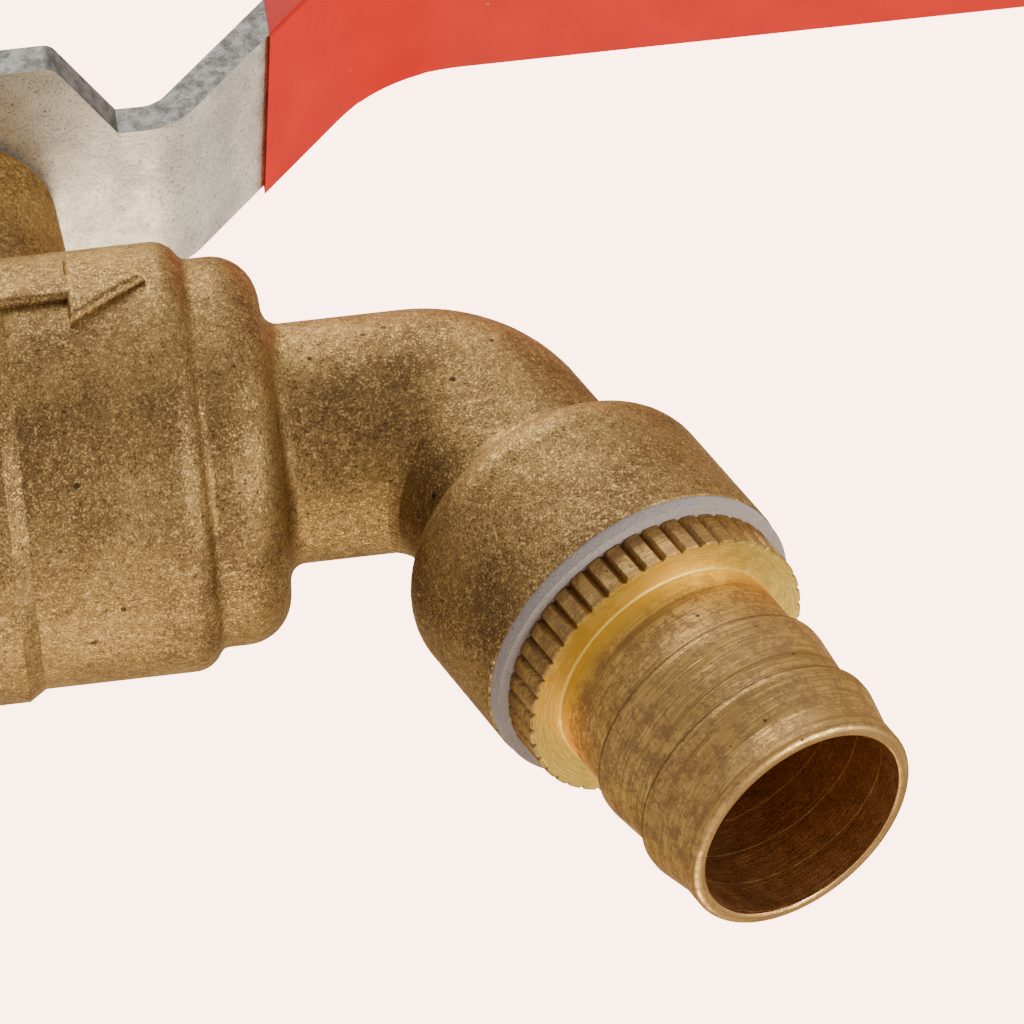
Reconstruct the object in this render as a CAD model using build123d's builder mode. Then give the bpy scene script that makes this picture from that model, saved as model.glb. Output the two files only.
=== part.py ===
# Hose bib: a quarter-turn lever ball valve with an angled outlet and a screwed-in hose tail.
# Millimetres. The origin is the centre of the inlet shoulder, where the wall thread ends.
# +X runs along the inlet axis toward the outlet, +Z along the stem, +Y completes the frame.
import os
from math import cos, radians, sin, tan

from build123d import *

os.makedirs("parts", exist_ok=True)

# Layout
STEM_X = 32.0  # stem axis and ball centre
ELBOW_X = 73.0  # where the inlet axis meets the outlet axis
OUTLET_ANGLE = 65.7  # outlet axis below the inlet axis, degrees

# Waterway
PORT_R = 7.75  # ball and seats
NECK_BORE_R = 7.8
BEND_BORE_R = 8.0  # centre-line radius of the bored bend
INLET_BORE_R = 9.5
TAIL_BORE_R = 9.0

# Body, turned about the inlet axis
BODY_FACE_X = 9.0
BELT_R, BELT_END_X = 18.6, 35.6
BARREL_R, BARREL_END_X = 17.7, 49.3
RING_R, RING_START_X, RING_END_X = 16.0, 51.7, 53.8
SHOULDER_END_R, SHOULDER_BACK = 11.5, 0.6  # where the ring's round shoulder meets the neck
FACE_CHAMFER, BELT_STEP = 1.0, 1.4
NECK_R, NECK_START_X = 9.9, 58.3
BEND_R = 6.0  # centre-line radius of the outside of the bend
EASE_R, EASE_TUBE_R = 13.0, 9.6  # tube that eases the inside of the bend
BOSS_FILLET, COLLAR_FILLET, NECK_FILLET, GROOVE_FILLET = 1.5, 2.0, 1.2, 0.8
NEAR = 0.05
ARROW_X, ARROW_Z, ARROW_HALF, ARROW_HEAD, ARROW_SHAFT = 42.2, 3.0, 6.4, 4.2, 1.5
ARROW_INSIDE, ARROW_LIFT, ARROW_ROUND = 15.0, 0.8, 0.55
ADAPTER_THREAD_R, ADAPTER_SHOULDER_X = 15.9, 19.6
PLUG_R = 15.85
CAVITY_R = 13.5
SEAT_BACK = 12.4  # seat back face from the ball centre

# Collar of the outlet, distances s run along the outlet axis from the elbow corner
COLLAR_R, COLLAR_START_S, COLLAR_END_S = 13.76, 12.0, 27.4
COLLAR_ROUND, COLLAR_CHAMFER = 4.5, 0.12
TAIL_THREAD_BORE_R, TAIL_THREAD_END_S = 11.35, 16.6

# Stem boss
BOSS_TOP_Z, BOSS_TOP_R, BOSS_FOOT_R, BOSS_ROUND = 30.0, 10.3, 12.8, 0.6
STEM_BORE_R, PACKING_R, PACKING_FLOOR_Z = 5.08, 7.5, 20.5
SHOULDER_POCKET_R, SHOULDER_POCKET_Z, THRUST_R = 7.5, 16.5, 7.2

# Stop post beside the boss
POST_OUT, POST_IN, POST_FOOT_IN = 15.2, 11.3, 8.5
POST_HALF, POST_TOP_Z, POST_FOOT_Z, POST_ROUND = 2.0, 33.4, 28.0, 0.6

# Inlet adapter
THREAD_R, THREAD_LENGTH = 13.22, 15.0  # G3/4 major radius
THREAD_CHAMFER, MOUTH_CHAMFER = 1.2, 0.8
BORE_STEP_X, BORE_STEP_END_X = 3.0, 6.0
HEX_FLATS = 32.0
HEX_FACE_R, HEX_TURNED_X, HEX_BACK_R, HEX_BACK_X, HEX_BEYOND_R = 15.9, 2.3, 17.6, 1.2, 20.0
SEAL_WIDTH = 1.0

# Ball and seats
BALL_R = 13.0
SLOT_WIDTH, SLOT_FLOOR_Z = 5.6, 9.2
SEAT_R, SEAT_FRONT, SEAT_GAP = 13.2, 7.6, 0.3

# Stem
STEM_R, SHOULDER_R, SHOULDER_Z, SHOULDER_TOP_Z = 5.0, 7.0, 13.4, 15.4
TANG_THICK, TANG_WIDTH, TANG_END_Z = 5.0, 10.0, 9.6
STEM_SEAT_Z = 30.5  # lever rests here
STEM_FLATS, FLATS_TOP_Z = 7.4, 33.5
STUD_R, STUD_TOP_Z, STUD_CHAMFER = 4.0, 43.4, 0.8
EDGE_CHAMFER = 0.5
ORING_Z, ORING_SECTION, ORING_OUT_R = 18.5, 0.9, 4.7

# Gland
GLAND_BORE_R, PACKING_TOP_Z, GLAND_TOP_Z = 5.35, 24.4, 29.6
PACKING_OUT_R = 7.4
SPANNER_SLOT, SLOT_DEPTH = 2.4, 1.5

# Lever
PLATE_T = 3.0
ARM_HALF = 8.2
EAR_Y, EAR_X, EAR_FOOT_X = 16.0, 11.3, 16.0
STOP_GAP = 0.3
HUB_R = 10.5
RISER_ANGLE = 48.5
LOW_CORNER_X, HIGH_CORNER_X, GRIP_Z = 20.7, 40.2, 52.7
LOW_ROUND, HIGH_ROUND = 6.0, 16.0
GRIP_RISE = 1.0  # degrees
LEVER_REACH = 104.0
GRIP_END_R = 5.0
ARM_LEAN = 1.3  # the arm leans this far to the +Y side of the hub, degrees
EAR_ROUND, HUB_NEAR_X, FAR_EAR_Y = 1.2, 5.5, 15.0
SLEEVE_T, SLEEVE_ROUND, SLEEVE_START_X, SLEEVE_SKEW = 0.5, 0.3, 29.2, 4.0
WASHER_R, WASHER_T = 8.0, 1.2
STUD_GAP = 0.05
NUT_FLATS, NUT_HEIGHT, NUT_CORNER, NUT_CHAMFER, COLLAR_EDGE = 13.0, 8.0, 1.1, 0.6, 0.4
INSERT_R, INSERT_HEIGHT, INSERT_SUNK = 5.2, 1.8, 0.2

# Hose tail
SHANK_R, SHANK_END_S = 11.0, 17.6
GASKET_R, GASKET_BORE_R, GASKET_T = 13.62, 11.35, 1.1
FLANGE_R, FLANGE_END_S = 12.7, 32.0
KNURLS, KNURL_DEPTH, KNURL_BEYOND = 44, 0.45, 0.1
BARB_ROOT_R = 9.95
BARB1_S, BARB1_R, BARB2_S, BARB2_R = 38.8, 10.65, 45.4, 10.8
BARB_LAND, LAND_S, LAND_R, TAIL_END_S = 0.6, 49.2, 10.1, 52.0
SHANK_CHAMFER, FLANGE_CHAMFER, ROOT_CHAMFER, BORE_CHAMFER, RIM_ROUND = 0.8, 0.12, 0.15, 0.15, 0.6

out_x, out_z = cos(radians(OUTLET_ANGLE)), -sin(radians(OUTLET_ANGLE))
elbow = Vector(ELBOW_X, 0, 0)
outlet_axis = Axis((ELBOW_X, 0, 0), (out_x, 0, out_z))
outlet_side = Plane(origin=(ELBOW_X, 0, 0), x_dir=(out_x, 0, out_z), z_dir=(0, -1, 0))
stem_axis = Axis((STEM_X, 0, 0), (0, 0, 1))
stem_side = Plane(origin=(STEM_X, 0, 0), x_dir=(1, 0, 0), z_dir=(0, -1, 0))
ball_axis = Axis((STEM_X, 0, 0), (1, 0, 0))


def stem_plane(height):
    return Plane(origin=(STEM_X, 0, height))


def outlet_plane(distance):
    return Plane(
        origin=(ELBOW_X + distance * out_x, 0, distance * out_z),
        x_dir=(0, 1, 0),
        z_dir=(out_x, 0, out_z),
    )


def closed_profile(points):
    """Fill a closed outline of (along, across) points in the sketch being built."""
    Polygon(*points, align=None)


shoulder_end = (NECK_START_X - SHOULDER_BACK, SHOULDER_END_R)
bend_start = BEND_R * tan(radians(OUTLET_ANGLE / 2))
bore_start = BEND_BORE_R * tan(radians(OUTLET_ANGLE / 2))
ease_start = EASE_R * tan(radians(OUTLET_ANGLE / 2))


def rings(edges, centre, radius):
    """The round edges of that radius about that centre."""
    return [
        edge
        for edge in edges.filter_by(GeomType.CIRCLE)
        if abs(edge.radius - radius) < NEAR and (edge.arc_center - Vector(*centre)).length < NEAR
    ]


# Raised arrow that shows the flow, cast on the near side of the body and softened all round.
arrow_start = Plane(origin=(ARROW_X, -ARROW_INSIDE, ARROW_Z), x_dir=(1, 0, 0), z_dir=(0, -1, 0))
with BuildPart() as flow_arrow:
    with BuildSketch(arrow_start):
        closed_profile(
            [
                (-ARROW_HALF, -ARROW_SHAFT),
                (0, -ARROW_SHAFT),
                (0, -ARROW_HEAD),
                (ARROW_HALF, 0),
                (0, ARROW_HEAD),
                (0, ARROW_SHAFT),
                (-ARROW_HALF, ARROW_SHAFT),
            ]
        )
    extrude(amount=2 * BARREL_R - ARROW_INSIDE)
    with BuildSketch(Plane.YZ.offset(ARROW_X - 2 * ARROW_HALF)):
        Circle(BARREL_R + ARROW_LIFT)
    extrude(amount=4 * ARROW_HALF, mode=Mode.INTERSECT)
    fillet(flow_arrow.faces().sort_by(Axis.Y)[0].edges(), ARROW_ROUND)

# Forged body: ball chamber, stem boss, stop post, elbow and outlet collar in one piece.
with BuildPart() as body:
    with BuildSketch(Plane.XZ):
        with BuildLine():
            Polyline(
                (ELBOW_X - bend_start, 0),
                (BODY_FACE_X, 0),
                (BODY_FACE_X, BELT_R - FACE_CHAMFER),
                (BODY_FACE_X + FACE_CHAMFER, BELT_R),
                (BELT_END_X, BELT_R),
                (BELT_END_X + BELT_STEP, BARREL_R),
                (BARREL_END_X, BARREL_R),
            )
            TangentArc((BARREL_END_X, BARREL_R), (RING_START_X, RING_R), tangent=(1, 0))
            Line((RING_START_X, RING_R), (RING_END_X, RING_R))
            TangentArc((RING_END_X, RING_R), shoulder_end, tangent=(1, 0))
            Line(shoulder_end, (NECK_START_X, NECK_R))
            Line((NECK_START_X, NECK_R), (ELBOW_X - bend_start, NECK_R))
            Line((ELBOW_X - bend_start, NECK_R), (ELBOW_X - bend_start, 0))
        make_face()
    revolve(axis=Axis.X)
    # outside of the bend
    with BuildSketch(Plane(origin=(ELBOW_X - bend_start, 0, 0), x_dir=(0, 1, 0), z_dir=(1, 0, 0))):
        Circle(NECK_R)
        with Locations((0, -BEND_R - NECK_R)):
            Rectangle(4 * NECK_R, 2 * NECK_R, mode=Mode.SUBTRACT)
    revolve(
        axis=Axis((ELBOW_X - bend_start, 0, -BEND_R), (0, 1, 0)),
        revolution_arc=OUTLET_ANGLE,
    )
    with BuildSketch(outlet_plane(bend_start)):
        Circle(NECK_R)
    extrude(amount=COLLAR_START_S + COLLAR_ROUND - bend_start)
    # eased inside of the bend
    with BuildSketch(Plane(origin=(ELBOW_X - ease_start, 0, 0), x_dir=(0, 1, 0), z_dir=(1, 0, 0))):
        Circle(EASE_TUBE_R)
    revolve(
        axis=Axis((ELBOW_X - ease_start, 0, -EASE_R), (0, 1, 0)),
        revolution_arc=OUTLET_ANGLE,
    )
    # collar
    with BuildSketch(outlet_side):
        with BuildLine():
            Polyline(
                (COLLAR_START_S + COLLAR_ROUND, COLLAR_R),
                (COLLAR_END_S - COLLAR_CHAMFER, COLLAR_R),
                (COLLAR_END_S, COLLAR_R - COLLAR_CHAMFER),
                (COLLAR_END_S, 0),
                (COLLAR_START_S, 0),
                (COLLAR_START_S, COLLAR_R - COLLAR_ROUND),
            )
            RadiusArc(
                (COLLAR_START_S, COLLAR_R - COLLAR_ROUND),
                (COLLAR_START_S + COLLAR_ROUND, COLLAR_R),
                COLLAR_ROUND,
            )
        make_face()
    revolve(axis=outlet_axis)
    # stem boss
    with BuildSketch(stem_side):
        closed_profile(
            [
                (0, 0),
                (BOSS_FOOT_R, 0),
                (BOSS_TOP_R, BOSS_TOP_Z),
                (0, BOSS_TOP_Z),
            ]
        )
    revolve(axis=stem_axis)
    fillet(rings(body.edges(), (STEM_X, 0, BOSS_TOP_Z), BOSS_TOP_R), BOSS_ROUND)
    # blends between the forged shapes
    fillet(body.edges().filter_by(GeomType.BSPLINE).filter_by_position(Axis.Z, 10, 20), BOSS_FILLET)
    collar_foot = elbow + COLLAR_START_S * Vector(out_x, 0, out_z)
    fillet(rings(body.edges(), collar_foot, NECK_R), COLLAR_FILLET)
    fillet(rings(body.edges(), (NECK_START_X, 0, 0), NECK_R), NECK_FILLET)
    fillet(rings(body.edges(), (RING_START_X, 0, 0), RING_R), GROOVE_FILLET)
    # stop post, its foot running into the boss
    with BuildSketch(stem_plane(BELT_R / 2)):
        with Locations((-(POST_OUT + POST_FOOT_IN) / 2, 0)):
            Rectangle(POST_OUT - POST_FOOT_IN, 2 * POST_HALF)
    extrude(amount=POST_FOOT_Z - BELT_R / 2)
    with BuildSketch(stem_plane(BELT_R)):
        with Locations((-(POST_OUT + POST_IN) / 2, 0)):
            RectangleRounded(POST_OUT - POST_IN, 2 * POST_HALF, POST_ROUND)
    extrude(amount=POST_TOP_Z - BELT_R)
    add(flow_arrow.part)
    # chamber, adapter thread and neck bore
    with BuildSketch(Plane.XZ):
        closed_profile(
            [
                (BODY_FACE_X, 0),
                (BODY_FACE_X, ADAPTER_THREAD_R),
                (ADAPTER_SHOULDER_X, ADAPTER_THREAD_R),
                (ADAPTER_SHOULDER_X, CAVITY_R),
                (STEM_X + SEAT_BACK, CAVITY_R),
                (STEM_X + SEAT_BACK, NECK_BORE_R),
                (ELBOW_X - bore_start, NECK_BORE_R),
                (ELBOW_X - bore_start, 0),
            ]
        )
    revolve(axis=Axis.X, mode=Mode.SUBTRACT)
    with BuildSketch(Plane(origin=(ELBOW_X - bore_start, 0, 0), x_dir=(0, 1, 0), z_dir=(1, 0, 0))):
        Circle(NECK_BORE_R)
    revolve(
        axis=Axis((ELBOW_X - bore_start, 0, -BEND_BORE_R), (0, 1, 0)),
        revolution_arc=OUTLET_ANGLE,
        mode=Mode.SUBTRACT,
    )
    with BuildSketch(outlet_side):
        closed_profile(
            [
                (bore_start, 0),
                (bore_start, NECK_BORE_R),
                (TAIL_THREAD_END_S, NECK_BORE_R),
                (TAIL_THREAD_END_S, TAIL_THREAD_BORE_R),
                (COLLAR_END_S, TAIL_THREAD_BORE_R),
                (COLLAR_END_S, 0),
            ]
        )
    revolve(axis=outlet_axis, mode=Mode.SUBTRACT)
    # stem bore, shoulder pocket and packing chamber
    with BuildSketch(stem_side):
        closed_profile(
            [
                (0, 0),
                (SHOULDER_POCKET_R, 0),
                (SHOULDER_POCKET_R, SHOULDER_POCKET_Z),
                (STEM_BORE_R, SHOULDER_POCKET_Z),
                (STEM_BORE_R, PACKING_FLOOR_Z),
                (PACKING_R, PACKING_FLOOR_Z),
                (PACKING_R, BOSS_TOP_Z),
                (0, BOSS_TOP_Z),
            ]
        )
    revolve(axis=stem_axis, mode=Mode.SUBTRACT)

# Inlet adapter: wall thread, hexagon and the plug that holds the inlet seat.
with BuildPart() as inlet_adapter:
    with BuildSketch(Plane.XZ):
        closed_profile(
            [
                (-THREAD_LENGTH, 0),
                (-THREAD_LENGTH, THREAD_R - THREAD_CHAMFER),
                (-THREAD_LENGTH + THREAD_CHAMFER, THREAD_R),
                (0, THREAD_R),
                (0, PLUG_R),
                (BODY_FACE_X, PLUG_R),
                (ADAPTER_SHOULDER_X - SEAL_WIDTH, PLUG_R),
                (ADAPTER_SHOULDER_X - SEAL_WIDTH, CAVITY_R),
                (ADAPTER_SHOULDER_X, CAVITY_R),
                (ADAPTER_SHOULDER_X, 0),
            ]
        )
    revolve(axis=Axis.X)
    with BuildSketch(Plane.YZ):
        RegularPolygon(HEX_FLATS / 2, 6, major_radius=False)
    extrude(amount=BODY_FACE_X)
    # corners of the hexagon turned off on both faces
    with BuildSketch(Plane.XZ):
        closed_profile(
            [(0, HEX_FACE_R), (HEX_TURNED_X, HEX_BEYOND_R), (0, HEX_BEYOND_R)]
        )
        closed_profile(
            [
                (BODY_FACE_X, HEX_BACK_R),
                (BODY_FACE_X - HEX_BACK_X, HEX_BEYOND_R),
                (BODY_FACE_X, HEX_BEYOND_R),
            ]
        )
    revolve(axis=Axis.X, mode=Mode.SUBTRACT)
    with BuildSketch(Plane.XZ):
        closed_profile(
            [
                (-THREAD_LENGTH, 0),
                (-THREAD_LENGTH, INLET_BORE_R + MOUTH_CHAMFER),
                (-THREAD_LENGTH + MOUTH_CHAMFER, INLET_BORE_R),
                (BORE_STEP_X, INLET_BORE_R),
                (BORE_STEP_END_X, PORT_R),
                (ADAPTER_SHOULDER_X, PORT_R),
                (ADAPTER_SHOULDER_X, 0),
            ]
        )
    revolve(axis=Axis.X, mode=Mode.SUBTRACT)

# Flat seal squeezed between the adapter plug and the body shoulder.
with BuildPart() as body_seal:
    with BuildSketch(Plane.YZ.offset(ADAPTER_SHOULDER_X - SEAL_WIDTH)):
        Circle(ADAPTER_THREAD_R)
        Circle(CAVITY_R, mode=Mode.SUBTRACT)
    extrude(amount=SEAL_WIDTH)

# Ball, drilled through and slotted across the top for the stem.
with BuildPart() as ball:
    with BuildSketch(Plane.XZ):
        with BuildLine():
            Line((STEM_X - BALL_R, 0), (STEM_X + BALL_R, 0))
            ThreePointArc((STEM_X + BALL_R, 0), (STEM_X, BALL_R), (STEM_X - BALL_R, 0))
        make_face()
    revolve(axis=Axis.X)
    with BuildSketch(Plane.YZ.offset(STEM_X - BALL_R)):
        Circle(PORT_R)
    extrude(amount=2 * BALL_R, mode=Mode.SUBTRACT)
    with BuildSketch(stem_plane(SLOT_FLOOR_Z)):
        Rectangle(SLOT_WIDTH, 2 * BALL_R)
    extrude(amount=BALL_R, mode=Mode.SUBTRACT)


def seat_profile():
    """Half section of a seat on the +X side of the ball, hollowed to the ball's curve."""
    closed_profile(
        [
            (SEAT_FRONT, PORT_R),
            (SEAT_FRONT, SEAT_R),
            (SEAT_BACK, SEAT_R),
            (SEAT_BACK, PORT_R),
        ]
    )
    Circle(BALL_R + SEAT_GAP, mode=Mode.SUBTRACT)


# Outlet seat ring.
with BuildPart() as seat_outlet:
    with BuildSketch(stem_side):
        seat_profile()
    revolve(axis=ball_axis)

# Inlet seat ring, the outlet one turned about the stem axis.
with BuildPart() as seat_inlet:
    with BuildSketch(Plane(origin=(STEM_X, 0, 0), x_dir=(-1, 0, 0), z_dir=(0, -1, 0))):
        seat_profile()
    revolve(axis=ball_axis)

# Stem: tang, blow-out shoulder, journal, flats for the lever and threaded stud.
with BuildPart() as stem:
    with BuildSketch(stem_side):
        closed_profile(
            [
                (0, SHOULDER_Z),
                (SHOULDER_R - EDGE_CHAMFER, SHOULDER_Z),
                (SHOULDER_R, SHOULDER_Z + EDGE_CHAMFER),
                (SHOULDER_R, SHOULDER_TOP_Z),
                (STEM_R, SHOULDER_TOP_Z),
                (STEM_R, ORING_Z - ORING_SECTION),
                (ORING_OUT_R - 2 * ORING_SECTION, ORING_Z - ORING_SECTION),
                (ORING_OUT_R - 2 * ORING_SECTION, ORING_Z + ORING_SECTION),
                (STEM_R, ORING_Z + ORING_SECTION),
                (STEM_R, FLATS_TOP_Z),
                (STUD_R, FLATS_TOP_Z),
                (STUD_R, STUD_TOP_Z - STUD_CHAMFER),
                (STUD_R - STUD_CHAMFER, STUD_TOP_Z),
                (0, STUD_TOP_Z),
            ]
        )
    revolve(axis=stem_axis)
    with BuildSketch(stem_plane(TANG_END_Z)):
        Rectangle(TANG_THICK, TANG_WIDTH)
    extrude(amount=SHOULDER_Z - TANG_END_Z + EDGE_CHAMFER)
    with BuildSketch(stem_plane(STEM_SEAT_Z)):
        with Locations((0, STEM_FLATS / 2 + STEM_R), (0, -STEM_FLATS / 2 - STEM_R)):
            Rectangle(4 * STEM_R, 2 * STEM_R)
    extrude(amount=FLATS_TOP_Z - STEM_SEAT_Z, mode=Mode.SUBTRACT)

# Rubber ring in the stem groove.
with BuildPart() as stem_oring:
    with BuildSketch(stem_side):
        with Locations((ORING_OUT_R - ORING_SECTION, ORING_Z)):
            Circle(ORING_SECTION)
    revolve(axis=stem_axis)

# Low-friction washer under the shoulder pocket's ceiling.
with BuildPart() as thrust_washer:
    with BuildSketch(stem_plane(SHOULDER_TOP_Z + STOP_GAP)):
        Circle(THRUST_R)
        Circle(GLAND_BORE_R, mode=Mode.SUBTRACT)
    extrude(amount=SHOULDER_POCKET_Z - SHOULDER_TOP_Z - STOP_GAP)

# Packing ring round the stem.
with BuildPart() as gland_packing:
    with BuildSketch(stem_plane(PACKING_FLOOR_Z)):
        Circle(PACKING_OUT_R)
        Circle(GLAND_BORE_R, mode=Mode.SUBTRACT)
    extrude(amount=PACKING_TOP_Z - PACKING_FLOOR_Z)

# Hollow gland screw pressing on the packing, with spanner slots in its top face.
with BuildPart() as gland_nut:
    with BuildSketch(stem_plane(PACKING_TOP_Z)):
        Circle(PACKING_OUT_R)
        Circle(GLAND_BORE_R, mode=Mode.SUBTRACT)
    extrude(amount=GLAND_TOP_Z - PACKING_TOP_Z)
    with BuildSketch(stem_plane(GLAND_TOP_Z - SLOT_DEPTH)):
        Rectangle(4 * PACKING_OUT_R, SPANNER_SLOT)
    extrude(amount=SLOT_DEPTH, mode=Mode.SUBTRACT)


lean_x, lean_y = cos(radians(ARM_LEAN)), sin(radians(ARM_LEAN))
arm_side = Plane(origin=(STEM_X, 0, 0), x_dir=(lean_x, lean_y, 0), z_dir=(lean_y, -lean_x, 0))


def leaned(along, across):
    """A point of the arm, turned about the stem with the arm's lean."""
    return along * lean_x - across * lean_y, across * lean_x + along * lean_y


def lever_line(lift):
    """Corners of the lever's side view, lifted square to the sheet, run past the grip's end."""
    half = tan(radians(RISER_ANGLE / 2))
    high_half = tan(radians((RISER_ANGLE - GRIP_RISE) / 2))
    low = (LOW_CORNER_X - lift * half, STEM_SEAT_Z + lift)
    high = (
        HIGH_CORNER_X - lift * sin(radians(GRIP_RISE)) - lift * high_half,
        GRIP_Z + lift,
    )
    reach = LEVER_REACH + ARM_HALF - HIGH_CORNER_X
    end = (
        LEVER_REACH + ARM_HALF - lift * sin(radians(GRIP_RISE)),
        GRIP_Z + lift * cos(radians(GRIP_RISE)) + reach * sin(radians(GRIP_RISE)),
    )
    return low, high, end


def lever_band(start, bottom, top):
    """Side view of the bent sheet between two lifts, from x = start to the lever's end."""
    low0, high0, end0 = lever_line(bottom)
    low1, high1, end1 = lever_line(top)
    with BuildLine() as side:
        FilletPolyline(
            (start, low0[1]), low0, high0, end0, radius=(LOW_ROUND - bottom, HIGH_ROUND + bottom)
        )
        FilletPolyline(
            (start, low1[1]), low1, high1, end1, radius=(LOW_ROUND - top, HIGH_ROUND + top)
        )
        Line((start, low0[1]), (start, low1[1]))
        Line(end0, end1)
    make_face(side.edges())


# Lever: a steel plate cut to shape, cranked up and carried out to the grip.
stop_y = POST_HALF + STOP_GAP
hub_cut = (HUB_R**2 - stop_y**2) ** 0.5
with BuildPart() as lever_plate:
    with BuildSketch(stem_plane(STEM_SEAT_Z)) as lever_outline:
        with BuildLine():
            Polyline(
                (stop_y, hub_cut),
                (stop_y, FAR_EAR_Y),
                (EAR_X, FAR_EAR_Y),
                leaned(EAR_FOOT_X, ARM_HALF),
                leaned(LEVER_REACH, ARM_HALF),
                leaned(LEVER_REACH, -ARM_HALF),
                leaned(EAR_FOOT_X, -ARM_HALF),
                (EAR_X, -EAR_Y),
                (-HUB_NEAR_X, -EAR_Y),
                (-POST_OUT, -ARM_HALF),
                (-POST_OUT, -stop_y),
                (-hub_cut, -stop_y),
            )
            ThreePointArc(
                (-hub_cut, -stop_y),
                (-HUB_R * 0.70711, HUB_R * 0.70711),
                (stop_y, hub_cut),
            )
        make_face()
        corners = lever_outline.vertices()
        fillet([v for v in corners if v.Y < -EAR_Y + NEAR or v.Y > FAR_EAR_Y - NEAR], EAR_ROUND)
        fillet(lever_outline.vertices().sort_by(Axis.X)[-2:], GRIP_END_R)
    extrude(amount=GRIP_Z)
    with BuildSketch(arm_side):
        lever_band(-3 * ARM_HALF, 0, PLATE_T)
    extrude(amount=4 * ARM_HALF, both=True, mode=Mode.INTERSECT)
    flats_y = STEM_FLATS / 2 + STEM_R + STUD_GAP
    with BuildSketch(stem_plane(STEM_SEAT_Z)):
        Circle(STEM_R + STUD_GAP)
        with Locations((0, flats_y), (0, -flats_y)):
            Rectangle(4 * STEM_R, 2 * STEM_R, mode=Mode.SUBTRACT)
    extrude(amount=PLATE_T, mode=Mode.SUBTRACT)

# Dipped plastic sleeve, shut over the end of the lever. Its mouth is the dip line, square to the
# grip but for a slight skew.
sleeve_half = ARM_HALF + SLEEVE_T
start_x, start_y = leaned(SLEEVE_START_X, 0)
turn_x, turn_y = leaned(cos(radians(SLEEVE_SKEW)), sin(radians(SLEEVE_SKEW)))
sleeve_start = Plane(
    origin=(
        STEM_X + start_x,
        start_y,
        STEM_SEAT_Z + (SLEEVE_START_X - LOW_CORNER_X) * tan(radians(RISER_ANGLE)),
    ),
    z_dir=(turn_x, turn_y, 0),
)
with BuildPart() as lever_sleeve:
    with BuildSketch(arm_side):
        lever_band(0, -SLEEVE_T, PLATE_T + SLEEVE_T)
    extrude(amount=sleeve_half, both=True)
    with BuildSketch(Plane(origin=(STEM_X, 0, 0), x_dir=(lean_x, lean_y, 0), z_dir=(0, 0, 1))):
        with Locations(((LEVER_REACH + SLEEVE_T) / 2, 0)):
            RectangleRounded(LEVER_REACH + SLEEVE_T, 2 * sleeve_half, GRIP_END_R + SLEEVE_T)
    extrude(amount=2 * GRIP_Z, mode=Mode.INTERSECT)
    split(bisect_by=sleeve_start, keep=Keep.TOP)
    fillet(
        lever_sleeve.edges().filter_by(
            lambda edge: abs(abs(arm_side.to_local_coords(edge.center()).Z) - sleeve_half) < NEAR
            and edge.length > ARM_HALF
        ),
        SLEEVE_ROUND,
    )
    add(lever_plate.part, mode=Mode.SUBTRACT)

# Washer between the lever and its nut.
plate_top_z = STEM_SEAT_Z + PLATE_T
with BuildPart() as handle_washer:
    with BuildSketch(stem_plane(plate_top_z)):
        Circle(WASHER_R)
        Circle(STUD_R + STUD_GAP, mode=Mode.SUBTRACT)
    extrude(amount=WASHER_T)

# Lever nut: hexagon below, round collar above that holds the locking insert.
nut_z = plate_top_z + WASHER_T
hex_top_z = nut_z + NUT_HEIGHT - INSERT_HEIGHT
collar_r = NUT_FLATS / 2 - EDGE_CHAMFER
with BuildPart() as handle_nut:
    with BuildSketch(stem_plane(nut_z)):
        RegularPolygon(NUT_FLATS / 2, 6, major_radius=False)
    extrude(amount=hex_top_z - nut_z)
    with BuildSketch(stem_side):
        closed_profile(
            [
                (0, nut_z),
                (NUT_FLATS / 2, nut_z),
                (NUT_FLATS / 2 + NUT_CORNER, nut_z + NUT_CHAMFER),
                (NUT_FLATS / 2 + NUT_CORNER, hex_top_z - NUT_CHAMFER),
                (NUT_FLATS / 2, hex_top_z),
                (0, hex_top_z),
            ]
        )
    revolve(axis=stem_axis, mode=Mode.INTERSECT)
    with BuildSketch(stem_side):
        closed_profile(
            [
                (0, nut_z),
                (collar_r, nut_z),
                (collar_r, nut_z + NUT_HEIGHT - COLLAR_EDGE),
                (collar_r - COLLAR_EDGE, nut_z + NUT_HEIGHT),
                (0, nut_z + NUT_HEIGHT),
            ]
        )
    revolve(axis=stem_axis)
    with BuildSketch(stem_side):
        closed_profile(
            [
                (0, nut_z),
                (STUD_R + NUT_CHAMFER, nut_z),
                (STUD_R + STUD_GAP, nut_z + NUT_CHAMFER),
                (STUD_R + STUD_GAP, hex_top_z),
                (INSERT_R, hex_top_z),
                (INSERT_R, nut_z + NUT_HEIGHT),
                (0, nut_z + NUT_HEIGHT),
            ]
        )
    revolve(axis=stem_axis, mode=Mode.SUBTRACT)

# Locking insert in the nut's collar.
with BuildPart() as nut_insert:
    with BuildSketch(stem_plane(hex_top_z)):
        Circle(INSERT_R)
        Circle(STUD_R + STUD_GAP, mode=Mode.SUBTRACT)
    extrude(amount=INSERT_HEIGHT - INSERT_SUNK)

# Flat gasket between the collar and the hose tail's flange.
with BuildPart() as tail_gasket:
    with BuildSketch(outlet_plane(COLLAR_END_S)):
        Circle(GASKET_R)
        Circle(GASKET_BORE_R, mode=Mode.SUBTRACT)
    extrude(amount=GASKET_T)

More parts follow.
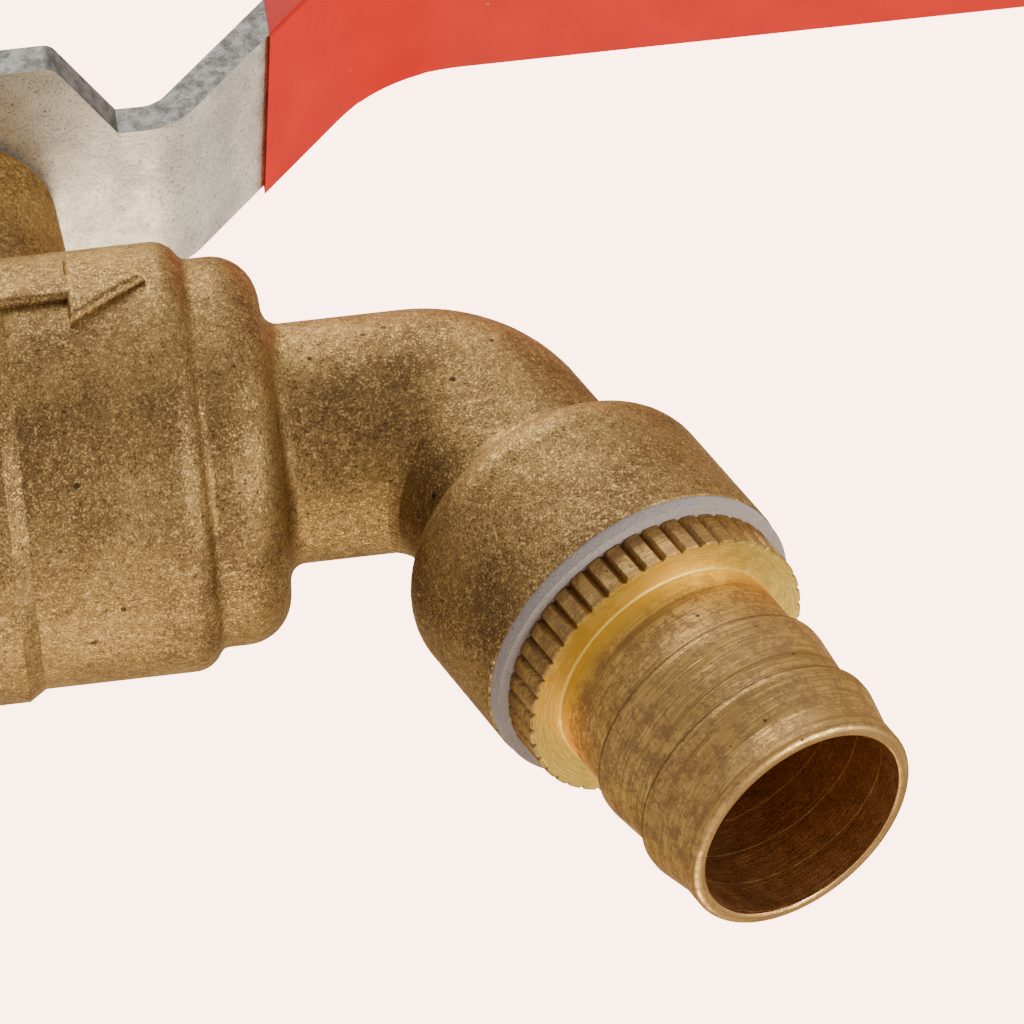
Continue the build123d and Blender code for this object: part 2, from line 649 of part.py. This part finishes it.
# Hose tail: threaded shank, knurled flange and two barbs.
flange_back_s = COLLAR_END_S + GASKET_T
with BuildPart() as hose_tail:
    with BuildSketch(outlet_side):
        with BuildLine():
            Polyline(
                (TAIL_END_S, TAIL_BORE_R + BORE_CHAMFER),
                (TAIL_END_S - BORE_CHAMFER, TAIL_BORE_R),
                (SHANK_END_S, TAIL_BORE_R),
                (SHANK_END_S, SHANK_R - SHANK_CHAMFER),
                (SHANK_END_S + SHANK_CHAMFER, SHANK_R),
                (flange_back_s, SHANK_R),
                (flange_back_s, FLANGE_R - FLANGE_CHAMFER),
                (flange_back_s + FLANGE_CHAMFER, FLANGE_R),
                (FLANGE_END_S - FLANGE_CHAMFER, FLANGE_R),
                (FLANGE_END_S, FLANGE_R - FLANGE_CHAMFER),
                (FLANGE_END_S, BARB_ROOT_R + ROOT_CHAMFER),
                (FLANGE_END_S + ROOT_CHAMFER, BARB_ROOT_R),
                (BARB1_S, BARB_ROOT_R),
                (BARB1_S, BARB1_R),
                (BARB1_S + BARB_LAND, BARB1_R),
                (BARB2_S, BARB_ROOT_R),
                (BARB2_S, BARB2_R),
                (BARB2_S + BARB_LAND, BARB2_R),
                (LAND_S, LAND_R),
                (TAIL_END_S - RIM_ROUND, LAND_R),
            )
            TangentArc(
                (TAIL_END_S - RIM_ROUND, LAND_R), (TAIL_END_S, LAND_R - RIM_ROUND), tangent=(1, 0)
            )
            Line((TAIL_END_S, LAND_R - RIM_ROUND), (TAIL_END_S, TAIL_BORE_R + BORE_CHAMFER))
        make_face()
    revolve(axis=outlet_axis)
    with BuildSketch(outlet_plane(flange_back_s)):
        with PolarLocations(FLANGE_R, KNURLS):
            Polygon(
                (-KNURL_DEPTH, 0),
                (KNURL_BEYOND, -KNURL_DEPTH),
                (KNURL_BEYOND, KNURL_DEPTH),
                align=None,
            )
    extrude(amount=FLANGE_END_S - flange_back_s, mode=Mode.SUBTRACT)

parts = {
    "body": body,
    "inlet_adapter": inlet_adapter,
    "body_seal": body_seal,
    "ball": ball,
    "seat_outlet": seat_outlet,
    "seat_inlet": seat_inlet,
    "stem": stem,
    "stem_oring": stem_oring,
    "thrust_washer": thrust_washer,
    "gland_packing": gland_packing,
    "gland_nut": gland_nut,
    "lever_plate": lever_plate,
    "lever_sleeve": lever_sleeve,
    "handle_washer": handle_washer,
    "handle_nut": handle_nut,
    "nut_insert": nut_insert,
    "tail_gasket": tail_gasket,
    "hose_tail": hose_tail,
}
for name, piece in parts.items():
    piece.part.label = name
    export_step(piece.part, f"parts/{name}.step")
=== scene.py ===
import math

import bpy
from mathutils import Matrix, Vector


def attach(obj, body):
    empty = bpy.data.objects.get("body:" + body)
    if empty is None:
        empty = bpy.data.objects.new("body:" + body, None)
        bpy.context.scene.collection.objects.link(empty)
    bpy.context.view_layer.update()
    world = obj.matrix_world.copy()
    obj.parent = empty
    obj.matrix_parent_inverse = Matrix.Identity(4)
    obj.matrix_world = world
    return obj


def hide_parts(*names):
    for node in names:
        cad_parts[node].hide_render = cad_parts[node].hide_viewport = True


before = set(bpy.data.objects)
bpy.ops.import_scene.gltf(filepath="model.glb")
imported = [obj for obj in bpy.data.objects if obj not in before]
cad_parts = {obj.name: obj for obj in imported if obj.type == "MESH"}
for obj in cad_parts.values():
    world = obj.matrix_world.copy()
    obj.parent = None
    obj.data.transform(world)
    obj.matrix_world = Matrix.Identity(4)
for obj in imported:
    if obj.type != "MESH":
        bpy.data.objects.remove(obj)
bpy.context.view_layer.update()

MM = 0.001

# Camera: from below and in front, rolled a little.
CAMERA_AZIMUTH = -4.651
CAMERA_ELEVATION = -43.072
CAMERA_ROLL = -9.710
CAMERA_DISTANCE = 632.6 * MM
CAMERA_AIM = Vector((76.48, 5.07, -5.71)) * MM
CAMERA_LENS, SENSOR_WIDTH = 271.3, 36.0
CAMERA_CLIP = (0.01, 50.0)

# The outlet: its axis leaves the elbow corner at this angle below the inlet axis.
ELBOW = Vector((73.0, 0.0, 0.0)) * MM
OUTLET_ANGLE = math.radians(65.7)
OUT = Vector((math.cos(OUTLET_ANGLE), 0, -math.sin(OUTLET_ANGLE)))
# Distances s run along the outlet axis from the elbow corner.
FLANGE_FACE_S, BORE_R = 32.0 * MM, 9.0 * MM
FLANGE_EDGE_R = 12.7 * MM
KNURL_INNER_R = 11.5 * MM
BARBS_S = (38.8 * MM, 45.4 * MM)
# Pitch of the bore's helical tool marks, which are painted as bright glints.
TOOL_MARK_GLINT_PITCH = 3.4 * MM
STEM_X = 32.0 * MM

# Inlet adapter, as in the CAD, with a G3/4 thread: 14 turns an inch, 1.162 mm deep.
THREAD_R, THREAD_LENGTH, THREAD_CHAMFER = 13.22 * MM, 15.0 * MM, 1.2 * MM
THREAD_PITCH, THREAD_DEPTH = 1.814 * MM, 1.162 * MM
HEX_FLATS, HEX_LENGTH = 32.0 * MM, 9.0 * MM
HEX_FACE_R, HEX_TURNED_X, HEX_BACK_R, HEX_BACK_X = 15.9 * MM, 2.3 * MM, 17.6 * MM, 1.2 * MM
HEX_BEYOND_R = 20.0 * MM
PLUG_R, PLUG_END_X, SEAL_WIDTH, CAVITY_R = 15.85 * MM, 19.6 * MM, 1.0 * MM, 13.5 * MM
PORT_R, INLET_BORE_R = 7.75 * MM, 9.5 * MM
BORE_STEP_X, BORE_STEP_END_X, MOUTH_CHAMFER = 3.0 * MM, 6.0 * MM, 0.8 * MM
FLANK_SLOPE = 1.25  # of the thread's flat-topped wave
THREAD_FADE_X, THREAD_FADE = 0.4 * MM, 1.2 * MM
STEPS_PER_TURN, HEX_STEPS, COLUMNS = 14, 18, 144
SHARP_ANGLE = math.radians(35)

# Studio
FLOOR_Z, FLOOR_HALF = -600.0 * MM, 3.0
LIGHT_AIM = Vector((60.0, 0.0, 0.0)) * MM
BACKDROP, BACKDROP_STRENGTH = (1.0, 0.63, 0.52, 1), 9.0
TENT_STRENGTH = 0.9
TENT_STOPS = (
    (0.0, (0.95, 0.88, 0.82, 1)),
    (0.62, (0.98, 0.92, 0.86, 1)),
    (1.0, (0.42, 0.39, 0.36, 1)),
)


# ---------- material building ----------


class Shade:
    """A node material under construction; its points are in metres in the object's own frame."""

    def __init__(self, name):
        self.material = bpy.data.materials.new(name)
        self.material.use_nodes = True
        self.tree = self.material.node_tree
        self.shader = self.tree.nodes["Principled BSDF"]
        self.point = self.tree.nodes.new("ShaderNodeTexCoord").outputs["Object"]

    def node(self, kind, settings=None, **inputs):
        """A new node; inputs are fed by socket name, or by number as i0, i1 and so on."""
        made = self.tree.nodes.new(kind)
        for key, value in (settings or {}).items():
            setattr(made, key, value)
        for key, value in inputs.items():
            self.feed(made.inputs[int(key[1:]) if key[0] == "i" and key[1:].isdigit() else key], value)
        return made

    def feed(self, socket, value):
        """Link a socket's value, or write a constant."""
        if isinstance(value, bpy.types.NodeSocket):
            self.tree.links.new(value, socket)
        else:
            socket.default_value = value

    def set(self, **values):
        """Feed the shader's own sockets, with underscores for the spaces in their names."""
        for key, value in values.items():
            self.feed(self.shader.inputs[key.replace("_", " ")], value)

    def math(self, operation, a, b=0.0):
        return self.node("ShaderNodeMath", {"operation": operation}, i0=a, i1=b).outputs[0]

    def vector(self, operation, a, b=(0, 0, 0)):
        made = self.node("ShaderNodeVectorMath", {"operation": operation}, i0=a, i1=b)
        return made.outputs["Value" if operation in ("DOT_PRODUCT", "LENGTH") else "Vector"]

    def noise(self, size, detail=2.0, roughness=0.5, at=None):
        """Noise with features of about that size, in metres."""
        made = self.node(
            "ShaderNodeTexNoise",
            Vector=self.point if at is None else at,
            Scale=1.0 / size,
            Detail=detail,
            Roughness=roughness,
        )
        return made.outputs["Fac"]

    def spots(self, size, radius):
        """1 in small round spots spread at that size, 0 elsewhere; radius is a share of the size."""
        cells = self.node("ShaderNodeTexVoronoi", Vector=self.point, Scale=1.0 / size)
        return self.ramp(cells.outputs["Distance"], (radius, 1.0), (radius * 1.6, 0.0))

    def ramp(self, value, low, high):
        """Straight step from (in, out) to (in, out)."""
        made = self.node(
            "ShaderNodeMapRange", i0=value, i1=low[0], i2=high[0], i3=low[1], i4=high[1]
        )
        return made.outputs[0]

    def mix(self, share, a, b):
        """Colour a, turning into colour b as the share goes from 0 to 1."""
        made = self.node("ShaderNodeMix", {"data_type": "RGBA", "blend_type": "MIX"})
        self.feed(made.inputs["Factor"], share)
        self.feed(made.inputs["A"], a if isinstance(a, bpy.types.NodeSocket) else (*a, 1))
        self.feed(made.inputs["B"], b if isinstance(b, bpy.types.NodeSocket) else (*b, 1))
        return made.outputs["Result"]

    def bump(self, height, depth, under=None):
        """A bumped normal of that depth in metres, over another bump if one is given."""
        made = self.node("ShaderNodeBump", Height=height, Distance=depth, Strength=1.0)
        if under is not None:
            self.feed(made.inputs["Normal"], under)
        return made.outputs["Normal"]


def cast_brass():
    """Sand-blasted forging: fine bright and dark grain over slow brown stains."""
    s = Shade("cast_brass")
    grain = s.noise(0.19 * MM, detail=3.0, roughness=0.7)
    coarse = s.noise(0.6 * MM, detail=3.0, roughness=0.6)
    stain = s.noise(8.0 * MM, detail=4.0, roughness=0.62)
    swell = s.noise(6.5 * MM, detail=2.0)
    pits = s.spots(4.2 * MM, 0.045)
    mixed = s.math("ADD", s.math("MULTIPLY", grain, 0.7), s.math("MULTIPLY", coarse, 0.3))
    clean, stained = (0.285, 0.184, 0.067), (0.160, 0.099, 0.041)
    bright_grain, dark_grain, pit = (0.72, 0.51, 0.19), (0.055, 0.033, 0.018), (0.02, 0.014, 0.01)
    colour = s.mix(s.ramp(stain, (0.38, 0.0), (0.64, 1.0)), clean, stained)
    colour = s.mix(s.ramp(mixed, (0.53, 0.0), (0.66, 1.0)), colour, bright_grain)
    colour = s.mix(s.ramp(mixed, (0.48, 0.0), (0.36, 0.9)), colour, dark_grain)
    colour = s.mix(s.math("MULTIPLY", pits, 0.85), colour, pit)
    rough = s.ramp(mixed, (0.35, 0.62), (0.65, 0.42))
    bumps = s.bump(swell, 0.35 * MM, s.bump(coarse, 0.06 * MM, s.bump(grain, 0.06 * MM)))
    s.set(Base_Color=colour, Metallic=0.94, Roughness=rough, Normal=bumps)
    s.set(Specular_Tint=(0.95, 0.70, 0.50, 1))
    return s.material


class Turned(Shade):
    """A turned part: coordinates along the lathe axis and out from it, and its tool lines."""

    def __init__(self, name, origin, along):
        super().__init__(name)
        self.offset = self.vector("SUBTRACT", self.point, tuple(origin))
        self.along = self.vector("DOT_PRODUCT", self.offset, tuple(along))
        reach = self.vector("LENGTH", self.offset)
        across = self.math(
            "SUBTRACT",
            self.math("MULTIPLY", reach, reach),
            self.math("MULTIPLY", self.along, self.along),
        )
        self.radius = self.math("SQRT", self.math("MAXIMUM", across, 0.0))
        slow = self.vector("SCALE", self.offset)
        slow.node.inputs["Scale"].default_value = 0.045
        line = self.math("ADD", self.along, self.radius)
        self.tooled = self.vector(
            "ADD", slow, self.node("ShaderNodeCombineXYZ", X=line, Y=0.0, Z=0.0).outputs[0]
        )


def turned_brass(name, origin, along, base, dark, patina=0.8):
    """Turned brass with tool lines round the axis through origin, and a mottled patina."""
    s = Turned(name, origin, along)
    lines = s.noise(0.14 * MM, detail=3.0, roughness=0.7, at=s.tooled)
    bands = s.noise(0.9 * MM, detail=2.0, roughness=0.6, at=s.tooled)
    blotch = s.noise(1.5 * MM, detail=5.0, roughness=0.72)
    fine = s.noise(0.30 * MM, detail=3.0, roughness=0.65)
    specks = s.spots(2.2 * MM, 0.05)
    mottle = s.math("ADD", s.math("MULTIPLY", blotch, 0.62), s.math("MULTIPLY", fine, 0.38))
    stained = s.ramp(mottle, (0.46, 0.0), (0.56, patina))
    colour = s.mix(s.ramp(lines, (0.38, 0.0), (0.64, 1.0)), base, tuple(min(1.0, c * 1.9) for c in base))
    colour = s.mix(s.ramp(bands, (0.52, 0.0), (0.68, 0.6)), colour, tuple(c * 0.5 for c in base))
    colour = s.mix(stained, colour, dark)
    colour = s.mix(s.math("MULTIPLY", specks, 0.85), colour, (0.04, 0.025, 0.018))
    rough = s.math("ADD", s.ramp(lines, (0.3, 0.42), (0.7, 0.26)), s.math("MULTIPLY", stained, 0.20))
    s.colour, s.fine = colour, fine
    s.set(Base_Color=colour, Metallic=0.95, Roughness=rough, Anisotropic=0.35)
    s.set(Specular_Tint=(0.95, 0.65, 0.42, 1))
    s.set(Normal=s.bump(lines, 0.045 * MM, s.bump(fine, 0.02 * MM)))
    return s


def tail_finish():
    """Hose tail: stained outside, flange face bright from fresh machining and a painted highlight, dark
    barb lips, drilled bore with its tool marks painted as bright glints.
    """
    s = turned_brass("tail_brass", ELBOW, OUT, (0.34, 0.215, 0.07), (0.25, 0.148, 0.07))
    machined_and_highlight_gold, knurl_dark, lip_dark = (0.80, 0.58, 0.12), (0.15, 0.085, 0.035), (0.09, 0.055, 0.028)
    bore_light, bore_dark, bore_glint = (0.60, 0.34, 0.14), (0.45, 0.25, 0.105), (1.0, 0.78, 0.36)
    before = s.ramp(s.along, (FLANGE_FACE_S - 0.25 * MM, 0.0), (FLANGE_FACE_S - 0.05 * MM, 1.0))
    after = s.ramp(s.along, (FLANGE_FACE_S + 0.3 * MM, 1.0), (FLANGE_FACE_S + 2.2 * MM, 0.0))
    ragged = s.ramp(
        s.math("ADD", s.radius, s.math("MULTIPLY", s.fine, 0.5 * MM)),
        (FLANGE_EDGE_R + 0.05 * MM, 1.0),
        (FLANGE_EDGE_R + 0.15 * MM, 0.0),
    )
    # Flange face and the start of the neck painted bright: partly the fresh machined colour, partly a
    # painted highlight.
    machined_face_and_highlight = s.math("MULTIPLY", s.math("MULTIPLY", before, after), ragged)
    colour = s.mix(s.math("MULTIPLY", machined_face_and_highlight, 0.9), s.colour, machined_and_highlight_gold)
    knurl = s.math(
        "MULTIPLY",
        s.ramp(s.along, (FLANGE_FACE_S - 0.15 * MM, 1.0), (FLANGE_FACE_S, 0.0)),
        s.ramp(s.radius, (FLANGE_EDGE_R - 0.35 * MM, 0.55), (FLANGE_EDGE_R - 0.05 * MM, 0.30)),
    )
    outer = s.ramp(s.radius, (KNURL_INNER_R, 0.0), (KNURL_INNER_R + 0.1 * MM, 1.0))
    colour = s.mix(s.math("MULTIPLY", knurl, outer), colour, knurl_dark)
    inside = s.ramp(s.radius, (BORE_R + 0.04 * MM, 1.0), (BORE_R + 0.10 * MM, 0.0))
    side = s.vector("DOT_PRODUCT", s.offset, (0, 1, 0))
    lift = s.vector("DOT_PRODUCT", s.offset, tuple(OUT.cross(Vector((0, 1, 0)))))
    turn = s.math("DIVIDE", s.math("ARCTAN2", side, lift), math.tau)
    # Helical tool marks in the bore, painted near-white as bright glints: a painted highlight.
    helix = s.math("FRACT", s.math("ADD", s.math("DIVIDE", s.along, TOOL_MARK_GLINT_PITCH), turn))
    glint_share = s.ramp(s.math("ABSOLUTE", s.math("SUBTRACT", helix, 0.5)), (0.009, 1.0), (0.02, 0.0))
    glint_share = s.math("MULTIPLY", glint_share, inside)
    bore = s.mix(s.ramp(s.fine, (0.4, 0.0), (0.6, 1.0)), bore_light, bore_dark)
    colour = s.mix(glint_share, s.mix(inside, colour, bore), bore_glint)
    for barb in BARBS_S:
        gap = s.math("ABSOLUTE", s.math("SUBTRACT", s.along, barb))
        lip = s.ramp(gap, (0.10 * MM, 0.75), (0.28 * MM, 0.0))
        lip = s.math("MULTIPLY", lip, s.math("SUBTRACT", 1.0, inside))
        colour = s.mix(lip, colour, lip_dark)
    s.set(Base_Color=colour)
    return s.material


def zinc_plate():
    """Dull zinc plating on pressed steel: clouded faces, darker scored edges where it was sheared."""
    s = Shade("zinc_plate")
    cloud = s.noise(5.0 * MM, detail=5.0, roughness=0.65)
    grain = s.noise(0.28 * MM, detail=3.0, roughness=0.7)
    streak = s.noise(1.3 * MM, detail=4.0, roughness=0.65)
    specks = s.spots(1.6 * MM, 0.06)
    up = s.node("ShaderNodeSeparateXYZ", Vector=s.node("ShaderNodeNewGeometry").outputs["Normal"])
    cut = s.ramp(s.math("ABSOLUTE", up.outputs["Z"]), (0.25, 1.0), (0.45, 0.0))
    pale, cloudy = (0.84, 0.79, 0.66), (0.57, 0.535, 0.45)
    bright_grain, dark_grain, speck = (0.82, 0.78, 0.70), (0.22, 0.20, 0.17), (0.14, 0.11, 0.09)
    sheared = s.mix(
        s.ramp(streak, (0.42, 0.0), (0.60, 1.0)), (0.17, 0.17, 0.165), (0.06, 0.06, 0.058)
    )
    colour = s.mix(s.ramp(cloud, (0.38, 0.0), (0.62, 1.0)), pale, cloudy)
    colour = s.mix(s.ramp(grain, (0.54, 0.0), (0.70, 0.7)), colour, bright_grain)
    colour = s.mix(s.ramp(grain, (0.46, 0.0), (0.32, 0.85)), colour, dark_grain)
    colour = s.mix(s.math("MULTIPLY", cut, 0.93), colour, sheared)
    colour = s.mix(s.math("MULTIPLY", specks, 0.6), colour, speck)
    s.set(Base_Color=colour, Metallic=0.85, Roughness=s.ramp(streak, (0.3, 0.40), (0.7, 0.56)))
    s.set(Normal=s.bump(grain, 0.03 * MM, s.bump(streak, 0.05 * MM)))
    return s.material


def dipped_plastic():
    """Soft red dip coating: smooth, slightly uneven, with a little dust."""
    s = Shade("dipped_plastic")
    swell = s.noise(5.0 * MM, detail=2.0)
    skin = s.noise(0.5 * MM, detail=2.0)
    dust = s.spots(3.2 * MM, 0.028)
    red, deep_red, dust_pink = (0.56, 0.010, 0.002), (0.48, 0.008, 0.002), (0.75, 0.40, 0.30)
    colour = s.mix(s.ramp(swell, (0.3, 0.0), (0.7, 1.0)), red, deep_red)
    colour = s.mix(s.math("MULTIPLY", dust, 0.3), colour, dust_pink)
    s.set(Base_Color=colour, Roughness=s.ramp(skin, (0.3, 0.46), (0.7, 0.54)))
    s.set(Specular_IOR_Level=0.16)
    s.set(Normal=s.bump(skin, 0.008 * MM, s.bump(swell, 0.12 * MM)))
    return s.material


def fibre():
    """Grey fibre washer with dark specks."""
    s = Shade("fibre")
    grain = s.noise(0.22 * MM, detail=3.0, roughness=0.6)
    specks = s.spots(0.9 * MM, 0.08)
    colour = s.mix(s.ramp(grain, (0.35, 0.0), (0.7, 1.0)), (0.24, 0.205, 0.195), (0.34, 0.30, 0.285))
    colour = s.mix(s.math("MULTIPLY", specks, 0.5), colour, (0.07, 0.06, 0.06))
    s.set(Base_Color=colour, Roughness=0.8, Normal=s.bump(grain, 0.03 * MM))
    return s.material


def plain(name, colour, roughness, metallic=0.0, grain_depth=0.01 * MM):
    """A simple finish with a faint grain."""
    s = Shade(name)
    grain = s.noise(0.4 * MM, detail=2.0)
    s.set(
        Base_Color=s.mix(s.ramp(grain, (0.3, 0.0), (0.7, 1.0)), colour, tuple(c * 0.86 for c in colour)),
        Roughness=s.ramp(grain, (0.3, roughness), (0.7, roughness * 1.2)),
        Metallic=metallic,
        Normal=s.bump(grain, grain_depth),
    )
    return s.material


inlet_brass = turned_brass(
    "inlet_brass", (0, 0, 0), (1, 0, 0), (0.36, 0.225, 0.075), (0.22, 0.13, 0.06)
).material
stem_brass = turned_brass(
    "stem_brass", (STEM_X, 0, 0), (0, 0, 1), (0.40, 0.26, 0.09), (0.24, 0.14, 0.06)
).material
ptfe = plain("ptfe", (0.80, 0.79, 0.76), 0.45)
zinc = zinc_plate()
finishes = {
    "body": cast_brass(),
    "inlet_adapter": inlet_brass,
    "body_seal": ptfe,
    "ball": plain("chrome", (0.72, 0.72, 0.72), 0.08, metallic=1.0, grain_depth=0.0004 * MM),
    "seat_outlet": ptfe,
    "seat_inlet": ptfe,
    "stem": stem_brass,
    "stem_oring": plain("black_rubber", (0.02, 0.02, 0.02), 0.6),
    "thrust_washer": ptfe,
    "gland_packing": ptfe,
    "gland_nut": stem_brass,
    "lever_plate": zinc,
    "lever_sleeve": dipped_plastic(),
    "handle_washer": zinc,
    "handle_nut": zinc,
    "nut_insert": plain("nylon", (0.70, 0.70, 0.66), 0.5),
    "tail_gasket": fibre(),
    "hose_tail": tail_finish(),
}
for node, finish in finishes.items():
    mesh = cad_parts[node].data
    mesh.materials.clear()
    mesh.materials.append(finish)


# ---------- inlet adapter with its real thread ----------


def hexagon_radius(angle, flats):
    """Distance from the axis to a hexagon's side at that angle."""
    return flats / 2 / math.cos((angle + math.pi / 6) % (math.pi / 3) - math.pi / 6)


def thread_radius(x, angle):
    """Helical pipe thread with sloped flanks, fading out at the shoulder and chamfered at the mouth."""
    phase = (x / THREAD_PITCH - angle / math.tau) % 1.0
    height = min(1.0, max(0.0, 0.5 + FLANK_SLOPE * (abs(phase - 0.5) * 2 - 0.5)))
    fade = min(1.0, max(0.0, (-x - THREAD_FADE_X) / THREAD_FADE))
    depth = THREAD_DEPTH * fade
    chamfer = THREAD_R - max(0.0, THREAD_CHAMFER - (x + THREAD_LENGTH))
    return min(THREAD_R - depth * (1 - height), chamfer)


def adapter_rows():
    """Stations round the adapter's section: outside from the mouth to the plug, back along the bore."""
    rows = []
    steps = round(THREAD_LENGTH / (THREAD_PITCH / STEPS_PER_TURN))
    for i in range(steps + 1):
        x = -THREAD_LENGTH + THREAD_LENGTH * i / steps
        rows.append((x, lambda a, x=x: thread_radius(x, a)))
    cone = (HEX_BEYOND_R - HEX_FACE_R) / HEX_TURNED_X
    back = (HEX_BEYOND_R - HEX_BACK_R) / HEX_BACK_X
    for i in range(HEX_STEPS + 1):
        x = HEX_LENGTH * i / HEX_STEPS
        limit = min(HEX_FACE_R + cone * x, HEX_BACK_R + back * (HEX_LENGTH - x))
        rows.append((x, lambda a, m=limit: min(hexagon_radius(a, HEX_FLATS), m)))
    seal_x, chamfer_x = PLUG_END_X - SEAL_WIDTH, MOUTH_CHAMFER - THREAD_LENGTH
    plug = ((HEX_LENGTH, PLUG_R), (seal_x, PLUG_R), (seal_x, CAVITY_R), (PLUG_END_X, CAVITY_R))
    bore = (
        (PLUG_END_X, PORT_R),
        (BORE_STEP_END_X, PORT_R),
        (BORE_STEP_X, INLET_BORE_R),
        (chamfer_x, INLET_BORE_R),
        (-THREAD_LENGTH, INLET_BORE_R + MOUTH_CHAMFER),
    )
    for x, r in plug + bore:
        rows.append((x, lambda a, r=r: r))
    return rows


def add_adapter():
    """The adapter as one closed tube of quads, in place of its plain solid."""
    rows = adapter_rows()
    points = []
    for x, radius in rows:
        for k in range(COLUMNS):
            angle = math.tau * k / COLUMNS
            r = radius(angle)
            points.append((x, r * math.cos(angle), r * math.sin(angle)))
    faces = []
    for i in range(len(rows)):
        here, there = i * COLUMNS, (i + 1) % len(rows) * COLUMNS
        for k in range(COLUMNS):
            n = (k + 1) % COLUMNS
            faces.append((here + k, here + n, there + n, there + k))
    mesh = bpy.data.meshes.new("inlet_adapter_threaded")
    mesh.from_pydata(points, [], faces)
    mesh.materials.append(inlet_brass)
    mesh.update()
    adapter = bpy.data.objects.new("inlet_adapter_threaded", mesh)
    bpy.context.scene.collection.objects.link(adapter)
    mesh.shade_smooth()
    mesh.set_sharp_from_angle(angle=SHARP_ANGLE)
    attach(adapter, "tap")
    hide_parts("inlet_adapter")


add_adapter()


# ---------- studio ----------


def add_camera():
    """The scene's camera; gives back the direction from its aim toward it."""
    az, el = math.radians(CAMERA_AZIMUTH), math.radians(CAMERA_ELEVATION)
    back = Vector((math.cos(el) * math.sin(az), -math.cos(el) * math.cos(az), math.sin(el)))
    right = (-back).cross(Vector((0, 0, 1))).normalized()
    up = right.cross(-back)
    turn = Matrix.Rotation(math.radians(CAMERA_ROLL), 3, back)
    right, up = turn @ right, turn @ up
    data = bpy.data.cameras.new("camera")
    data.lens = CAMERA_LENS
    data.sensor_width = SENSOR_WIDTH
    data.clip_start, data.clip_end = CAMERA_CLIP
    camera = bpy.data.objects.new("camera", data)
    place = Matrix((right, up, back)).transposed().to_4x4()
    place.translation = CAMERA_AIM + CAMERA_DISTANCE * back
    camera.matrix_world = place
    bpy.context.scene.collection.objects.link(camera)
    bpy.context.scene.camera = camera
    return back


def add_world(back):
    """Pale backdrop to the camera; as a light, a white tent that is darker round the camera."""
    world = bpy.data.worlds.new("studio")
    world.use_nodes = True
    tree = world.node_tree
    nodes, link = tree.nodes, tree.links.new
    backdrop = nodes["Background"]
    backdrop.inputs["Color"].default_value = BACKDROP
    backdrop.inputs["Strength"].default_value = BACKDROP_STRENGTH
    tent = nodes.new("ShaderNodeBackground")
    direction = nodes.new("ShaderNodeTexCoord").outputs["Generated"]
    tint = nodes.new("ShaderNodeValToRGB")
    dot = nodes.new("ShaderNodeVectorMath")
    dot.operation = "DOT_PRODUCT"
    link(direction, dot.inputs[0])
    dot.inputs[1].default_value = tuple(back)
    remap = nodes.new("ShaderNodeMapRange")
    remap.inputs["From Min"].default_value, remap.inputs["From Max"].default_value = -1, 1
    link(dot.outputs["Value"], remap.inputs["Value"])
    stops = tint.color_ramp.elements
    (stops[0].position, stops[0].color), middle, (stops[1].position, stops[1].color) = TENT_STOPS
    stops.new(middle[0]).color = middle[1]
    link(remap.outputs[0], tint.inputs["Fac"])
    link(tint.outputs["Color"], tent.inputs["Color"])
    tent.inputs["Strength"].default_value = TENT_STRENGTH
    seen = nodes.new("ShaderNodeLightPath").outputs["Is Camera Ray"]
    mix = nodes.new("ShaderNodeMixShader")
    link(seen, mix.inputs[0])
    link(tent.outputs[0], mix.inputs[1])
    link(backdrop.outputs[0], mix.inputs[2])
    link(mix.outputs[0], nodes["World Output"].inputs["Surface"])
    bpy.context.scene.world = world


def add_light(name, place, size, power, colour):
    """A soft round light that shines on the part and isn't seen itself."""
    data = bpy.data.lights.new(name, "AREA")
    data.shape, data.size = "DISK", size
    data.energy, data.color = power, colour
    light = bpy.data.objects.new(name, data)
    light.location = place
    light.rotation_euler = (LIGHT_AIM - place).to_track_quat("-Z", "Y").to_euler()
    light.visible_camera = False
    bpy.context.scene.collection.objects.link(light)


def add_floor():
    """A pale paper floor, well below the part."""
    mesh = bpy.data.meshes.new("floor")
    corners = ((-1, -1), (1, -1), (1, 1), (-1, 1))
    mesh.from_pydata([(x * FLOOR_HALF, y * FLOOR_HALF, FLOOR_Z) for x, y in corners], [], [(0, 1, 2, 3)])
    floor = bpy.data.objects.new("floor", mesh)
    s = Shade("floor_paper")
    grain = s.noise(3.0 * MM, detail=2.0)
    s.set(Base_Color=s.mix(grain, (0.68, 0.635, 0.61), (0.64, 0.60, 0.58)), Roughness=0.9)
    mesh.materials.append(s.material)
    bpy.context.scene.collection.objects.link(floor)


add_world(add_camera())
add_floor()
add_light("low_light", Vector((0.55, -0.12, -0.38)), 0.35, 5.0, (1, 0.95, 0.86))
add_light("back_light", Vector((0.06, 0.40, -0.34)), 0.35, 1.9, (1, 0.86, 0.66))
add_light("top_light", Vector((-0.1, -0.3, 0.7)), 0.6, 7.0, (1, 0.98, 0.95))
